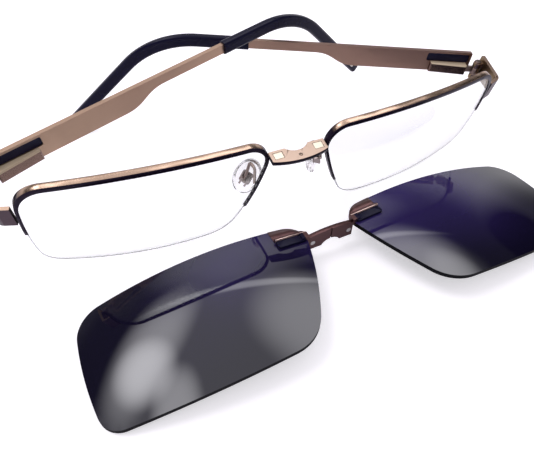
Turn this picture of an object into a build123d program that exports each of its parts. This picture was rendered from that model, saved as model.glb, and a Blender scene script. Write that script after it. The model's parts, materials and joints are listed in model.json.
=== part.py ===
"""Semi-rimless spring-hinged spectacle frame with its magnetic clip-on sun lenses, in millimetres.

The frame stands on the lower edges of its lenses and one temple tip, with its temples part
folded and crossed, and the clip lies in front of it with its curved side up.
Z is up, Y points away from the viewer and X to the viewer's right. The right side is the one at +X.
"""
import os
from math import cos, radians, sin, sqrt

from build123d import *

os.makedirs("parts", exist_ok=True)

# Lens outline, seen from the front: its corners, their radii and how far each side bows out,
# from the top nasal corner along the top to the temple and back along the bottom
LENS_CORNERS = ((6.6, -0.9), (61.0, -1.4), (61.4, -27.2), (17.7, -28.4))
LENS_ROUNDING = (5.3, 7.0, 4.9, 9.0)
SUN_LENS_CORNERS = ((6.4, 0.5), (61.8, 0.75), (61.4, -26.5), (17.7, -28.4))
SUN_LENS_ROUNDING = (4.1, 6.1, 4.9, 9.0)
SIDE_BOWS = (1.5, 1.1, 1.35, 1.25)

# Lens curve: both faces are parts of spheres about one centre
LENS_RADIUS = 135.0
LENS_WRAP = 5.9
LENS_MIDDLE = (35.5, -0.55, -15.0)
LENS_THICK = 1.1
SUN_LENS_THICK = 1.2
SUN_LENS_GROW = 0.75

# Metal half rim and the nylon cord that closes it
RIM_OUT = 0.5
RIM_RAISE = 0.5
RIM_LAP = 0.25
RIM_LIP = 0.2
RIM_END_NASAL = -19.8
RIM_END_TEMPORAL = -15.0
CORD_SIZE = 0.4
CORD_DEPTH = 0.35

# Frame bridge, whose flat top carries two magnets
BRIDGE_TOP = -4.25
BRIDGE_THICK = 1.2
BRIDGE_END = 7.2
BRIDGE_FRONT = (-1.8, -3.0)
BRIDGE_BACK = (1.3, -0.1)
BRIDGE_SHOULDER = 0.42
DIMPLE_Y = -1.6
DIMPLE_RADIUS = 0.5
DIMPLE_LIFT = 0.25
MAGNET_X = 5.15
MAGNET_Y = -0.35
MAGNET_LONG = 2.4
MAGNET_WIDE = 1.9
MAGNET_THICK = 0.8

# Nose pads: outline of each level of the dome, as part of the full outline, and its height
PAD_CENTRE = (10.1, 6.2, -17.6)
PAD_UP = (-0.27, -0.10, 0.957)
PAD_FACE = (-0.74, 0.66, 0)
PAD_LONG = 13.0
PAD_WIDE = 6.8
PAD_LEVELS = ((0.94, 0.0), (1.0, 0.5), (0.97, 1.1), (0.82, 1.7), (0.45, 2.1))
ARM_WIRE = 0.8
ARM_SIDES = 8
ARM_ROOT = (10.4, 0.8, -13.0)
ARM_RISE = (9.7, 2.6, -9.9)
ARM_TOP = (9.9, 5.1, -10.3)
ARM_BEND = 1.1
EYE_PLACE = (0, 0, -0.95)
EYE_RADIUS = 0.7
PIVOT_RADIUS = 0.25
PAD_BOX_LONG = 2.4
PAD_BOX_WIDE = 2.0
PAD_BOX_TALL = 1.75
PAD_BOX_FLOOR = 0.05
PAD_SLOT = 1.0
FLANGE_LONG = 4.2
FLANGE_WIDE = 3.0
FLANGE_ROUND = 0.6
FLANGE_SINK = 0.3
FLANGE_THICK = 0.5

# Endpieces and hinges
ENDPIECE_TOP = -5.6
ENDPIECE_LOW = -11.3
ENDPIECE_DROP = 0.9
ENDPIECE_BACK = 16.9
ENDPIECE_THICK = 1.0
ENDPIECE_ROOT = (62.9, 5.75)
ENDPIECE_CORNER = (66.3, 6.8)
ENDPIECE_END_X = 69.4
ENDPIECE_BEND = 1.8
ENDPIECE_FLARE_Y = 8.0
KNUCKLE_RADIUS = 1.2
SCREW_RADIUS = 0.6
SCREW_HEAD_RADIUS = 1.0
SCREW_HEAD_TALL = 0.45
EYE_TALL = 2.0
LUG_TALL = 1.4
HINGE_GAP = 0.08
RUNNING_GAP = 0.05
LUG_REACH = 1.9
LUG_SHIFT = -0.1
LUG_WIDE = 2.2
RELIEF_GAP = 0.15
SLOT_WIDE = 0.3
SLOT_DEEP = 0.2
SCREW_EDGE = 0.15

# Temples, with u along the temple from the hinge screw and z up from its top edge
BLADE_THICK = 1.2
BLADE_START = 1.8
BLADE_OFFSET = 2.0
BLADE_INNER = BLADE_OFFSET - BLADE_THICK / 2
RECESS_INSET = 0.6
RECESS_LONG = 12.5
RECESS_TALL = 2.4
RECESS_DEEP = 0.4
RECESS_ROUND = 0.5
BLADE_ROUND = 0.4
SCREW_TO_ORIGIN = 1.5
WIDE_TALL = 6.0
WIDE_END = 34.5
NARROW_START = 46.6
NARROW_TALL = 2.5
SLEEVE_START = 65.9
BEND_START = 80.8
BEND_RADIUS = 28.8
BEND_ANGLE = 46.4
TIP_STRAIGHT = 34.0
SLEEVE_TALL = 3.4
SLEEVE_WIDE = 2.8
SLEEVE_ROUND = 1.1
SLEEVE_END_EDGE = 0.8
CORE_TALL = 1.4
CORE_THICK = 0.9
CORE_LONG = 12.0
SPRING_BOX_LONG = 10.6
SPRING_BOX_TALL = 2.9
SPRING_BOX_THICK = 2.1
SPRING_BOX_THIN = 1.2
SPRING_BOX_Z = -0.1
SPRING_BOX_EDGE = 0.3
CHANNEL_SPARE = 0.5
BOX_START = 3.0
SLIDER_TALL = 1.5
SLIDER_WIDE = 0.9
SLIDER_LONG = 7.2
SLIDER_Y = 0.6
SPRING_TRAVEL = 1.2
INLAY_START = 22.5
INLAY_LONG = 7.5
INLAY_WIDE = 1.3
INLAY_SINK = 0.35
INLAY_PROUD = 0.05

# Clip bridge and the brackets that hold the sun lenses
CLIP_SEAT = -4.15
CLIP_BRIDGE_THICK = 1.1
CLIP_BRIDGE_END = 6.2
CLIP_BRIDGE_FRONT = (-0.4, -1.0)
CLIP_BRIDGE_BACK = (4.0, 2.45)
CLIP_MAGNET_Y = 1.95
CLIP_MAGNET_RADIUS = 0.65
SEAM_WIDE = 0.35
SEAM_DEEP = 0.3
TAB_OUTER = 8.15
TAB_STEP = 1.7
TAB_BACK = 0.7
TAB_FRONT = -1.1
BRACKET_INNER = 7.4
BRACKET_OUTER = 14.5
BRACKET_TOP = -2.3
BRACKET_LOW = -4.5
BRACKET_THICK = 0.7
BRACKET_ROUND = 0.5
RAIL_TALL = 0.7
RAIL_THICK = 1.2
PIN_RADIUS = 0.55
PIN_PROUD = 0.3
PIN_PLACES = ((9.6, -3.4), (12.6, -3.3))

# Where the front and the clip stand
FRONT_LEAN = 12.86
FRONT_ROLL = 0.82
FRONT_HEIGHT = 29.07
CLIP_PLACE = (3.6, -7.2, 7.44)
CLIP_LAID = -88.1
CLIP_TURN = 1.34
MIDDLE_X = -0.076
MIDDLE_Y = 17.938

# Hinge screws: point of the temple's top edge, fold angle, climb, and lean of the axis
TEMPLE_TOP_LEFT = (-66.66, 19.43, 29.95)
TEMPLE_TOP_RIGHT = (66.65, 19.43, 26.44)
FOLD_LEFT = 17.21
FOLD_RIGHT = 23.73
CLIMB_LEFT = 4.4
CLIMB_RIGHT = 4.2
AXIS_LEAN_LEFT = 7.0
AXIS_LEAN_RIGHT = 4.5
SCREW_DROP = 4.4

REACH = 40.0
SIDES = {"left": -1, "right": 1}

TABLE = Location((-MIDDLE_X, -MIDDLE_Y, 0))
FRONT = TABLE * Location((0, 0, FRONT_HEIGHT), (0, FRONT_ROLL, 0)) * Location((0, 0, 0), (FRONT_LEAN, 0, 0))
CLIP = TABLE * Location(CLIP_PLACE, (0, 0, CLIP_TURN)) * Location((0, 0, 0), (CLIP_LAID, 0, 0))

wrap_slope = sin(radians(LENS_WRAP))
LENS_CENTRE = (
    LENS_MIDDLE[0] - LENS_RADIUS * wrap_slope,
    LENS_MIDDLE[1] + LENS_RADIUS * cos(radians(LENS_WRAP)),
    LENS_MIDDLE[2],
)


def temple_frame(side):
    """Place of a temple: origin on its hinge screw, X along the temple, Z along the screw."""
    top = TEMPLE_TOP_LEFT if side < 0 else TEMPLE_TOP_RIGHT
    fold = radians(FOLD_LEFT if side < 0 else FOLD_RIGHT)
    climb = radians(CLIMB_LEFT if side < 0 else CLIMB_RIGHT)
    along = Vector(-side * cos(fold) * cos(climb), sin(fold) * cos(climb), sin(climb))
    lean = radians(AXIS_LEAN_LEFT if side < 0 else AXIS_LEAN_RIGHT)
    across = -(along.Y * -sin(lean) + along.Z * cos(lean)) / along.X
    axis = Vector(across, -sin(lean), cos(lean)).normalized()
    outward = axis.cross(along) * -side
    screw = Vector(*top) - outward * BLADE_OFFSET - along * SCREW_TO_ORIGIN - axis * SCREW_DROP
    return TABLE * Location(Plane(origin=screw, x_dir=along, z_dir=axis))


def on_side(shape, side):
    """The shape as drawn for the right side, or its mirror image for the left."""
    return shape if side > 0 else shape.mirror(Plane.YZ)


def write_node(shape, node, place):
    with BuildPart() as piece:
        add(place * shape)
    piece.part.label = node
    export_step(piece.part, f"parts/{node}.step")
    return piece.part


def side_circle(start, end, bow):
    """Centre and radius of the arc from start to end that bows out to the left of the way it runs."""
    run = Vector(*end) - Vector(*start)
    radius = (run.length**2 / 4 + bow**2) / (2 * bow)
    left = Vector(-run.Y, run.X).normalized()
    return (Vector(*start) + Vector(*end)) / 2 - left * (radius - bow), radius


def crossing(one, other, near):
    """The point nearest to a corner where two circles cross."""
    (centre, radius), (far_centre, far_radius) = one, other
    apart = far_centre - centre
    along = (radius**2 - far_radius**2 + apart.length**2) / (2 * apart.length)
    across = sqrt(radius**2 - along**2)
    foot = centre + apart.normalized() * along
    sideways = Vector(-apart.Y, apart.X).normalized() * across
    return min(foot + sideways, foot - sideways, key=lambda point: (point - Vector(*near)).length)


def outline_face(corners, rounding, grow):
    """Face on the front's plane with four bowed sides and four round corners, grown all round."""
    circles = []
    for number, bow in enumerate(SIDE_BOWS):
        centre, radius = side_circle(corners[number], corners[(number + 1) % 4], bow)
        circles.append((centre, radius + grow))
    points = [crossing(circles[number - 1], circles[number], corners[number]) for number in range(4)]
    with BuildSketch(Plane.XZ) as outline:
        with BuildLine():
            for number, (centre, radius) in enumerate(circles):
                start = points[number]
                end = points[(number + 1) % 4]
                middle = centre + ((start + end) / 2 - centre).normalized() * radius
                ThreePointArc(start, middle, end)
        make_face()
        for point, radius in zip(points, rounding):
            fillet(outline.vertices().sort_by_distance(point)[0], radius + grow)
    return outline.sketch


def lens_outline(grow=0.0, lift=0.0):
    """Outline of a clear lens, grown all round and raised along its top."""
    top = [(x, z + lift) for x, z in LENS_CORNERS[:2]]
    return outline_face((*top, *LENS_CORNERS[2:]), LENS_ROUNDING, grow)


def shell(outline, front, back, hole=None):
    """Solid under an outline between two depths behind the lens's front face, less a hole."""
    with BuildPart() as blank:
        add(outline)
        extrude(amount=REACH, dir=(0, 1, 0), both=True)
        if hole is not None:
            add(hole)
            extrude(amount=REACH, dir=(0, 1, 0), both=True, mode=Mode.SUBTRACT)
        with Locations(LENS_CENTRE):
            Sphere(LENS_RADIUS - front, mode=Mode.INTERSECT)
            Sphere(LENS_RADIUS - back, mode=Mode.SUBTRACT)
    return blank.part


def rim_region():
    """Block that takes in the stretch of lens edge that the metal rim holds."""
    middle = LENS_MIDDLE[0]
    with BuildPart() as region:
        with BuildSketch(Plane.XZ):
            with BuildLine():
                Polyline(
                    (middle - REACH, REACH),
                    (middle + REACH, REACH),
                    (middle + REACH, RIM_END_TEMPORAL),
                    (middle, RIM_END_TEMPORAL),
                    (middle, RIM_END_NASAL),
                    (middle - REACH, RIM_END_NASAL),
                    close=True,
                )
            make_face()
        extrude(amount=REACH, dir=(0, 1, 0), both=True)
    return region.part


def rim_envelope():
    """Room that a rim and its lens take up together, which the pieces beside it are cut back to."""
    return shell(lens_outline(RIM_OUT, RIM_RAISE), -RIM_LIP, LENS_THICK + RIM_LIP)


def half_rim(lens_blank):
    """Metal rim along the top and both sides of a lens, taller on top, with a groove for the lens."""
    with BuildPart() as rim:
        add(shell(lens_outline(RIM_OUT, RIM_RAISE), -RIM_LIP, LENS_THICK + RIM_LIP, lens_outline(-RIM_LAP)))
        add(rim_region(), mode=Mode.INTERSECT)
        add(lens_blank, mode=Mode.SUBTRACT)
    return rim.part


def nylon_cord():
    """Cord along the rest of the lens edge, half sunk in the lens's groove."""
    half = CORD_SIZE / 2
    with BuildPart() as cord:
        add(shell(lens_outline(half), CORD_DEPTH, CORD_DEPTH + CORD_SIZE, lens_outline(-half)))
        add(rim_region(), mode=Mode.SUBTRACT)
    return cord.part


def bridge_plan(front, back, end):
    """Plan of a bridge: a strip with a wide seat for a magnet near each end and a waist between.

    Its front and back are each given as the depth at the ends and the depth in the middle.
    """
    front_end, front_middle = front
    back_end, back_middle = back
    shoulder = end * BRIDGE_SHOULDER
    with BuildSketch() as plan:
        with BuildLine():
            ThreePointArc((-end, front_end), (0, front_middle), (end, front_end))
            Line((end, front_end), (end, back_end))
            Line((end, back_end), (shoulder, back_end))
            ThreePointArc((shoulder, back_end), (0, back_middle), (-shoulder, back_end))
            Line((-shoulder, back_end), (-end, back_end))
            Line((-end, back_end), (-end, front_end))
        make_face()
    return plan.sketch


def frame_bridge(envelopes):
    """Bridge between the rims, waisted, with a pocket for each magnet and a small locating dimple."""
    with BuildPart() as bridge:
        with BuildSketch(Plane.XY.offset(BRIDGE_TOP)):
            add(bridge_plan(BRIDGE_FRONT, BRIDGE_BACK, BRIDGE_END))
        extrude(amount=-BRIDGE_THICK)
        for envelope in envelopes:
            add(envelope, mode=Mode.SUBTRACT)
        for side in SIDES.values():
            add(frame_magnet(side * MAGNET_X), mode=Mode.SUBTRACT)
        with Locations((0, DIMPLE_Y, BRIDGE_TOP + DIMPLE_LIFT)):
            Sphere(DIMPLE_RADIUS, mode=Mode.SUBTRACT)
    return bridge.part


def frame_magnet(x):
    """Rectangular magnet that fills its pocket in the top of the frame's bridge."""
    with BuildPart() as block:
        with BuildSketch(Plane.XY.offset(BRIDGE_TOP)):
            with Locations((x, MAGNET_Y)):
                Rectangle(MAGNET_LONG, MAGNET_WIDE)
        extrude(amount=-MAGNET_THICK)
    return block.part


def pad_plane():
    """Plane of a nose pad: Z faces the nose and Y runs up the pad."""
    up = Vector(*PAD_UP).normalized()
    nose = Vector(*PAD_FACE)
    nose = (nose - up * nose.dot(up)).normalized()
    return Plane(origin=PAD_CENTRE, x_dir=up.cross(nose), z_dir=nose)


def nose_pad(pad_box):
    """Oval silicone pad, flat on its back and domed towards the nose, moulded over its fixing."""
    with BuildPart() as pad:
        for part_of_outline, height in PAD_LEVELS:
            with BuildSketch(pad_plane().offset(height)):
                Ellipse(PAD_WIDE / 2 * part_of_outline, PAD_LONG / 2 * part_of_outline)
        loft(ruled=True)
        add(pad_box, mode=Mode.SUBTRACT)
    return pad.part


def pivot_plane():
    """Plane across a pad's pivot, with its origin on the pivot and Z along it."""
    plane = pad_plane()
    return Plane(origin=plane.from_local_coords(Vector(*EYE_PLACE)), x_dir=plane.y_dir, z_dir=plane.x_dir)


def pad_fixing():
    """Metal fork behind the pad, with a flange in the pad and a pin for the eye of the arm."""
    plane = pad_plane()
    with BuildPart() as fork:
        with BuildSketch(plane.offset(FLANGE_SINK)):
            RectangleRounded(FLANGE_WIDE, FLANGE_LONG, FLANGE_ROUND)
        extrude(amount=FLANGE_THICK)
        with BuildSketch(plane.offset(FLANGE_SINK)):
            Rectangle(PAD_BOX_WIDE, PAD_BOX_LONG)
        extrude(amount=-PAD_BOX_TALL - FLANGE_SINK)
        with BuildSketch(plane.offset(-PAD_BOX_FLOOR)):
            Rectangle(PAD_SLOT, PAD_BOX_LONG)
        extrude(amount=-PAD_BOX_TALL, mode=Mode.SUBTRACT)
        with BuildSketch(pivot_plane()):
            Circle(PIVOT_RADIUS)
        extrude(amount=PAD_BOX_WIDE / 2, both=True)
    return fork.part


def pad_arm(envelope):
    """Bent wire from the back of the rim, up, over and down to a flat eye in the pad's fixing."""
    eye = pivot_plane().origin
    with BuildPart() as arm:
        with BuildLine() as route:
            FilletPolyline(ARM_ROOT, ARM_RISE, ARM_TOP, tuple(eye), radius=ARM_BEND)
        with BuildSketch(Plane(origin=route.wires()[0] @ 0, z_dir=route.wires()[0] % 0)):
            RegularPolygon(ARM_WIRE / 2, ARM_SIDES)
        sweep(path=route.wires()[0])
        with BuildSketch(pivot_plane()):
            Circle(EYE_RADIUS)
        extrude(amount=ARM_WIRE / 2, both=True)
        with BuildSketch(pivot_plane()):
            Circle(PIVOT_RADIUS + RUNNING_GAP)
        extrude(amount=ARM_WIRE, both=True, mode=Mode.SUBTRACT)
        add(envelope, mode=Mode.SUBTRACT)
    return arm.part


def endpiece_wrap(envelope):
    """Endpiece in the front's frame: it leaves the rim, turns back and flares out to its end."""
    back = ENDPIECE_BACK + ENDPIECE_THICK
    with BuildPart() as wrap:
        with BuildSketch(Plane.XY.offset(ENDPIECE_LOW - ENDPIECE_DROP)):
            with BuildLine() as run:
                FilletPolyline(
                    ENDPIECE_ROOT,
                    ENDPIECE_CORNER,
                    (ENDPIECE_END_X, ENDPIECE_BACK),
                    radius=ENDPIECE_BEND,
                )
            trace(run.line, line_width=ENDPIECE_THICK)
        extrude(amount=ENDPIECE_TOP - ENDPIECE_LOW + ENDPIECE_DROP)
        with BuildSketch(Plane.YZ):
            with BuildLine():
                Polyline(
                    (0, ENDPIECE_LOW),
                    (ENDPIECE_FLARE_Y, ENDPIECE_LOW),
                    (back, ENDPIECE_LOW - ENDPIECE_DROP),
                    (back, ENDPIECE_TOP - ENDPIECE_DROP),
                    (ENDPIECE_FLARE_Y, ENDPIECE_TOP),
                    (0, ENDPIECE_TOP),
                    close=True,
                )
            make_face()
        extrude(amount=2 * REACH, mode=Mode.INTERSECT)
        add(envelope, mode=Mode.SUBTRACT)
    return wrap.part


def hinge_relief():
    """Room that is cut out of the endpiece's wall for the middle eye to turn in."""
    with BuildPart() as relief:
        Cylinder(KNUCKLE_RADIUS + RELIEF_GAP, EYE_TALL + 2 * HINGE_GAP)
    return relief.part


def hinge_lugs(side):
    """Two outer lugs of a hinge about the screw's axis, reaching out to the endpiece's wall."""
    opened = (FOLD_LEFT if side < 0 else FOLD_RIGHT) - 90
    with BuildPart() as lugs:
        for low in (EYE_TALL / 2 + HINGE_GAP, -EYE_TALL / 2 - HINGE_GAP - LUG_TALL):
            with BuildSketch(Plane.XY.offset(low)):
                Circle(KNUCKLE_RADIUS)
                with Locations(Location((0, 0), -opened)):
                    with Locations((LUG_SHIFT, LUG_REACH / 2)):
                        Rectangle(LUG_WIDE, LUG_REACH)
                Circle(SCREW_RADIUS, mode=Mode.SUBTRACT)
            extrude(amount=LUG_TALL)
    return on_temple(lugs.part, side)


def hinge_screw():
    """Shouldered screw through both lugs and the eye between them, with a slotted head."""
    half = EYE_TALL / 2 + HINGE_GAP + LUG_TALL
    with BuildPart() as screw:
        with BuildSketch(Plane.XY.offset(-half)):
            Circle(SCREW_RADIUS)
        extrude(amount=2 * half)
        with BuildSketch(Plane.XY.offset(half)):
            Circle(SCREW_HEAD_RADIUS)
        extrude(amount=SCREW_HEAD_TALL)
        chamfer(screw.faces().sort_by(Axis.Z)[-1].edges(), SCREW_EDGE)
        with BuildSketch(Plane.XY.offset(half + SCREW_HEAD_TALL)):
            Rectangle(2 * SCREW_HEAD_RADIUS, SLOT_WIDE)
        extrude(amount=-SLOT_DEEP, mode=Mode.SUBTRACT)
    return screw.part


def on_temple(shape, side):
    """The shape as drawn for the left temple, with its outer face at +Y, or its mirror image."""
    return shape if side < 0 else shape.mirror(Plane.XZ)


def hinge_slider():
    """Middle eye of the hinge with the flat bar that slides in the spring box."""
    with BuildPart() as slider:
        with BuildSketch(Plane.XY.offset(-EYE_TALL / 2)):
            Circle(KNUCKLE_RADIUS)
        extrude(amount=EYE_TALL)
        with BuildSketch(Plane.XY.offset(-SLIDER_TALL / 2)):
            with Locations((SLIDER_LONG / 2, SLIDER_Y)):
                Rectangle(SLIDER_LONG, SLIDER_WIDE)
        extrude(amount=SLIDER_TALL)
        with BuildSketch(Plane.XY.offset(-EYE_TALL / 2)):
            Circle(SCREW_RADIUS + RUNNING_GAP)
        extrude(amount=EYE_TALL, mode=Mode.SUBTRACT)
    return slider.part


def spring_box():
    """Housing on the inner face of the temple, slimmer away from the hinge, with the bar's channel."""
    box_end = BOX_START + SPRING_BOX_LONG
    channel_end = SLIDER_LONG + SPRING_TRAVEL + CHANNEL_SPARE
    with BuildPart() as box:
        with BuildSketch(Plane.XY.offset(SPRING_BOX_Z - SPRING_BOX_TALL / 2)):
            with BuildLine():
                Polyline(
                    (BOX_START, BLADE_INNER),
                    (BOX_START, BLADE_INNER - SPRING_BOX_THICK),
                    (box_end, BLADE_INNER - SPRING_BOX_THIN),
                    (box_end, BLADE_INNER),
                    close=True,
                )
            make_face()
        extrude(amount=SPRING_BOX_TALL)
        chamfer(box.faces().sort_by(Axis.Y)[0].edges(), SPRING_BOX_EDGE)
        with BuildSketch(Plane.YZ):
            with Locations((SLIDER_Y, 0)):
                Rectangle(SLIDER_WIDE + 2 * RUNNING_GAP, SLIDER_TALL + 2 * RUNNING_GAP)
        extrude(amount=channel_end, mode=Mode.SUBTRACT)
    return box.part


def temple_blade():
    """Flat metal temple: a wide panel that narrows to a core for the tip sleeve."""
    top = SCREW_DROP
    wide_low = top - WIDE_TALL
    narrow_low = top - NARROW_TALL
    sleeve_u = SLEEVE_START + SCREW_TO_ORIGIN
    wide_u = WIDE_END + SCREW_TO_ORIGIN
    narrow_u = NARROW_START + SCREW_TO_ORIGIN
    middle = (wide_u + narrow_u) / 2
    recess_u = BLADE_START + RECESS_INSET + RECESS_LONG / 2
    recess_z = top - RECESS_INSET - RECESS_TALL / 2
    with BuildPart() as blade:
        with BuildSketch(Plane.XZ.offset(-BLADE_INNER)):
            with BuildLine():
                Line((BLADE_START, top), (sleeve_u, top))
                Line((sleeve_u, top), (sleeve_u, narrow_low))
                Line((sleeve_u, narrow_low), (narrow_u, narrow_low))
                Bezier((narrow_u, narrow_low), (middle, narrow_low), (middle, wide_low), (wide_u, wide_low))
                Line((wide_u, wide_low), (BLADE_START, wide_low))
                Line((BLADE_START, wide_low), (BLADE_START, top))
            blade_face = make_face()
            fillet(blade_face.vertices().sort_by(Axis.X)[:2], BLADE_ROUND)
        extrude(amount=-BLADE_THICK)
        with BuildSketch(Plane.XZ.offset(-BLADE_INNER)):
            with Locations((recess_u, recess_z)):
                RectangleRounded(RECESS_LONG, RECESS_TALL, RECESS_ROUND)
        extrude(amount=-RECESS_DEEP, mode=Mode.SUBTRACT)
        add(sleeve_core())
    return blade.part


def sleeve_core():
    """Core of the tip, the end of the blade that the sleeve is pushed over."""
    with BuildPart() as core:
        with BuildSketch(Plane.YZ.offset(SLEEVE_START + SCREW_TO_ORIGIN)):
            with Locations((BLADE_OFFSET, SCREW_DROP - NARROW_TALL / 2)):
                Rectangle(CORE_THICK, CORE_TALL)
        extrude(amount=CORE_LONG)
    return core.part


def tip_route():
    """Middle line of the tip: straight, a bend down behind the ear, straight again."""
    height = SCREW_DROP - NARROW_TALL / 2
    with BuildLine(Plane.XZ.offset(-BLADE_OFFSET)) as route:
        start = Line(
            (SLEEVE_START + SCREW_TO_ORIGIN, height),
            (BEND_START + SCREW_TO_ORIGIN, height),
        )
        bend = JernArc(start @ 1, start % 1, BEND_RADIUS, -BEND_ANGLE)
        Line(bend @ 1, (bend @ 1) + (bend % 1) * TIP_STRAIGHT)
    return route


def tip_sleeve(inlay):
    """Moulded sleeve over the end of the temple, with rounded edges and a recess for the inlay."""
    route = tip_route().wires()[0]
    with BuildPart() as sleeve:
        with BuildSketch(Plane(origin=route @ 0, x_dir=(0, 1, 0), z_dir=route % 0)):
            RectangleRounded(SLEEVE_WIDE, SLEEVE_TALL, SLEEVE_ROUND)
        sweep(path=route)
        end = sleeve.faces().sort_by_distance(route @ 1)[0]
        chamfer(end.edges(), SLEEVE_END_EDGE)
        add(sleeve_core(), mode=Mode.SUBTRACT)
        add(inlay, mode=Mode.SUBTRACT)
    return sleeve.part


def tip_inlay():
    """Slim metal bar with rounded ends, let into the inner face of the tip."""
    route = tip_route().edges().sort_by(Axis.X)[-1]
    along = route % 0
    start = (route @ 0) if (route @ 0).Z > (route @ 1).Z else (route @ 1)
    down = along if along.Z < 0 else along * -1
    middle = start + down * (INLAY_START + INLAY_LONG / 2) - Vector(0, SLEEVE_WIDE / 2 + INLAY_PROUD, 0)
    with BuildPart() as inlay:
        with BuildSketch(Plane(origin=middle, x_dir=down, z_dir=(0, 1, 0))):
            SlotOverall(INLAY_LONG, INLAY_WIDE)
        extrude(amount=INLAY_SINK + INLAY_PROUD)
    return inlay.part


def clip_bracket(sun_lens):
    """Bracket of one sun lens: a plate on its face, a raised rail along the top and a side tab."""
    rail_top = BRACKET_TOP + RAIL_TALL
    across = (BRACKET_INNER + BRACKET_OUTER) / 2
    wide = BRACKET_OUTER - BRACKET_INNER
    with BuildSketch(Plane.XZ) as plate:
        with Locations((across, (BRACKET_LOW + BRACKET_TOP) / 2)):
            Rectangle(wide, BRACKET_TOP - BRACKET_LOW)
        fillet(plate.vertices().group_by(Axis.Z)[0].sort_by(Axis.X)[-1], BRACKET_ROUND)
    with BuildSketch(Plane.XZ) as rail:
        with Locations((across, (BRACKET_TOP + rail_top) / 2)):
            Rectangle(wide, RAIL_TALL)
    with BuildPart() as bracket:
        add(shell(plate.sketch, -BRACKET_THICK, 0))
        add(shell(rail.sketch, -RAIL_THICK, 0))
        with BuildSketch(Plane.XZ.offset(-TAB_BACK)):
            with BuildLine():
                Polyline(
                    (CLIP_BRIDGE_END, CLIP_SEAT),
                    (TAB_OUTER, CLIP_SEAT),
                    (TAB_OUTER, rail_top),
                    (BRACKET_INNER, rail_top),
                    (CLIP_BRIDGE_END, CLIP_SEAT + TAB_STEP),
                    close=True,
                )
            make_face()
        extrude(amount=TAB_BACK - TAB_FRONT)
        add(sun_lens, mode=Mode.SUBTRACT)
        for x, z in PIN_PLACES:
            with BuildSketch(Plane.XZ.offset(BRACKET_THICK)):
                with Locations((x, z)):
                    Circle(PIN_RADIUS)
            extrude(amount=-BRACKET_THICK - SUN_LENS_THICK - PIN_PROUD)
    return bracket.part


def clip_magnet(x):
    """Round magnet that fills its hole in the underside of the clip's bridge."""
    with BuildPart() as disc:
        with BuildSketch(Plane.XY.offset(CLIP_SEAT)):
            with Locations((x, CLIP_MAGNET_Y)):
                Circle(CLIP_MAGNET_RADIUS)
        extrude(amount=MAGNET_THICK)
    return disc.part


def clip_bridge():
    """Bridge of the clip, which rests on the frame's bridge with magnets in its underside."""
    with BuildPart() as bridge:
        with BuildSketch(Plane.XY.offset(CLIP_SEAT)):
            add(bridge_plan(CLIP_BRIDGE_FRONT, CLIP_BRIDGE_BACK, CLIP_BRIDGE_END))
        extrude(amount=CLIP_BRIDGE_THICK)
        with BuildSketch(Plane.XY.offset(CLIP_SEAT)):
            Rectangle(SEAM_WIDE, 2 * CLIP_BRIDGE_END)
        extrude(amount=SEAM_DEEP, mode=Mode.SUBTRACT)
        for side in SIDES.values():
            add(clip_magnet(side * MAGNET_X), mode=Mode.SUBTRACT)
    return bridge.part


lens_blank = shell(lens_outline(), 0, LENS_THICK)
envelope_blank = rim_envelope()
rim_blank = half_rim(lens_blank)
cord_blank = nylon_cord()
arm_blank = pad_arm(envelope_blank)
fixing_blank = pad_fixing()
pad_blank = nose_pad(fixing_blank)
wrap_blank = endpiece_wrap(envelope_blank)
inlay_blank = tip_inlay()
sleeve_blank = tip_sleeve(inlay_blank)
sun_outline = outline_face(SUN_LENS_CORNERS, SUN_LENS_ROUNDING, SUN_LENS_GROW)
sun_blank = shell(sun_outline, 0, SUN_LENS_THICK)
bracket_blank = clip_bracket(sun_blank)

with BuildPart() as clear_lens:
    add(lens_blank)
    add(cord_blank, mode=Mode.SUBTRACT)

with BuildPart() as drilled_sun_lens:
    add(sun_blank)
    add(bracket_blank, mode=Mode.SUBTRACT)

for name, side in SIDES.items():
    write_node(on_side(rim_blank, side), f"{name}_rim", FRONT)
    write_node(on_side(clear_lens.part, side), f"{name}_lens", FRONT)
    write_node(on_side(cord_blank, side), f"{name}_lens_cord", FRONT)
    write_node(on_side(arm_blank, side), f"{name}_pad_arm", FRONT)
    write_node(on_side(fixing_blank, side), f"{name}_pad_fixing", FRONT)
    write_node(on_side(pad_blank, side), f"{name}_nose_pad", FRONT)

    temple = temple_frame(side)
    with BuildPart() as endpiece:
        add(FRONT * on_side(wrap_blank, side))
        add(temple * on_temple(hinge_relief(), side), mode=Mode.SUBTRACT)
        add(temple * hinge_lugs(side))
        add(temple * on_temple(hinge_screw(), side), mode=Mode.SUBTRACT)
    write_node(endpiece.part, f"{name}_endpiece", Location())
    write_node(hinge_screw(), f"{name}_hinge_screw", temple)
    write_node(on_temple(hinge_slider(), side), f"{name}_hinge_slider", temple)
    write_node(on_temple(spring_box(), side), f"{name}_spring_box", temple)
    write_node(on_temple(temple_blade(), side), f"{name}_temple_blade", temple)
    write_node(on_temple(sleeve_blank, side), f"{name}_tip_sleeve", temple)
    write_node(on_temple(inlay_blank, side), f"{name}_tip_inlay", temple)

    write_node(on_side(drilled_sun_lens.part, side), f"{name}_sun_lens", CLIP)
    write_node(on_side(bracket_blank, side), f"{name}_clip_bracket", CLIP)
    write_node(frame_magnet(side * MAGNET_X), f"{name}_frame_magnet", FRONT)
    write_node(clip_magnet(side * MAGNET_X), f"{name}_clip_magnet", CLIP)

write_node(frame_bridge([on_side(envelope_blank, side) for side in SIDES.values()]), "frame_bridge", FRONT)
write_node(clip_bridge(), "clip_bridge", CLIP)
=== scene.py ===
import json
from math import cos, radians, sin

import bmesh
import bpy
from bpy.props import FloatProperty, FloatVectorProperty, PointerProperty
from bpy.types import Operator, Panel, PropertyGroup
from mathutils import Matrix, Vector


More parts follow.
